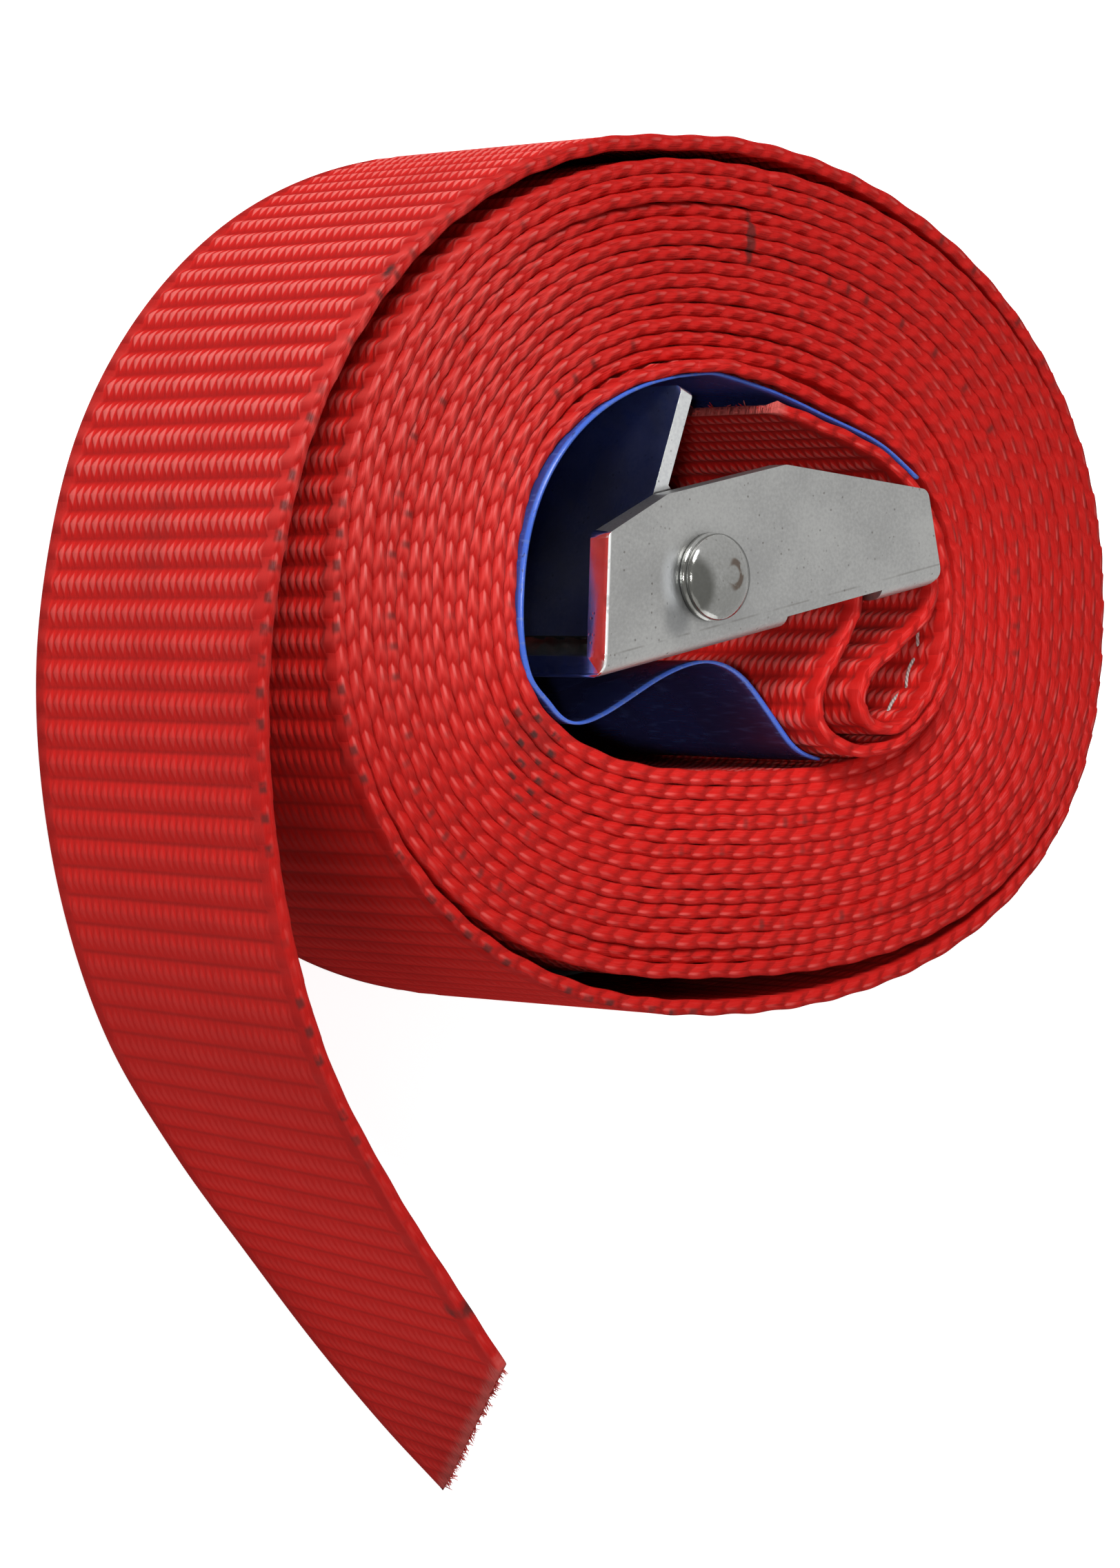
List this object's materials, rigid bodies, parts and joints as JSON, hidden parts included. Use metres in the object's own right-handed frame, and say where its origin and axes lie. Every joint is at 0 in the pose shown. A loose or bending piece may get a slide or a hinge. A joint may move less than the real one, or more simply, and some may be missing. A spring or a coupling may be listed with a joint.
{
  "type": "cam-buckle lashing strap",
  "caption": "Lashing strap of flat red webbing, wound into an oval roll round its sprung cam buckle, with a loose outer lap and a free tail cut on the slant.",
  "frame": {"origin": "centre of the part's bounding box, on the surface that the roll lies on", "axes": "+Z along the axis of the roll, up from the surface; +Y away from the free tail; +X towards the sewn loop's side of the roll"},
  "size_m": [0.083, 0.0984, 0.031],
  "materials": {
    "webbing": "woven polyester, slight sheen",
    "label_film": "blue film, satin",
    "thread": "light sewing thread",
    "zinc_plate": "bright zinc plating, satin",
    "rivet_steel": "bright plated steel",
    "spring_steel": "bare spring wire"
  },
  "bodies": {
    "strap": {"webbing": "webbing", "label": "label_film", "seam_row_1": "thread", "seam_row_2": "thread", "seam_row_3": "thread", "seam_row_4": "thread", "buckle_frame": "zinc_plate", "axle_rivet": "rivet_steel", "cam_spring": "spring_steel"},
    "lever": {"cam_lever": "zinc_plate"}
  },
  "joints": [
    {"name": "cam_lever_hinge", "type": "hinge", "parent": "strap", "child": "lever", "pos_m": [-0.00515, 0.0183, 0.01505], "axis": [0, 0, -1], "range_deg": [0, 50], "stiffness_Nm_per_rad": 0.02, "springref_deg": -34.38, "deforming": ["cam_spring"]}
  ]
}
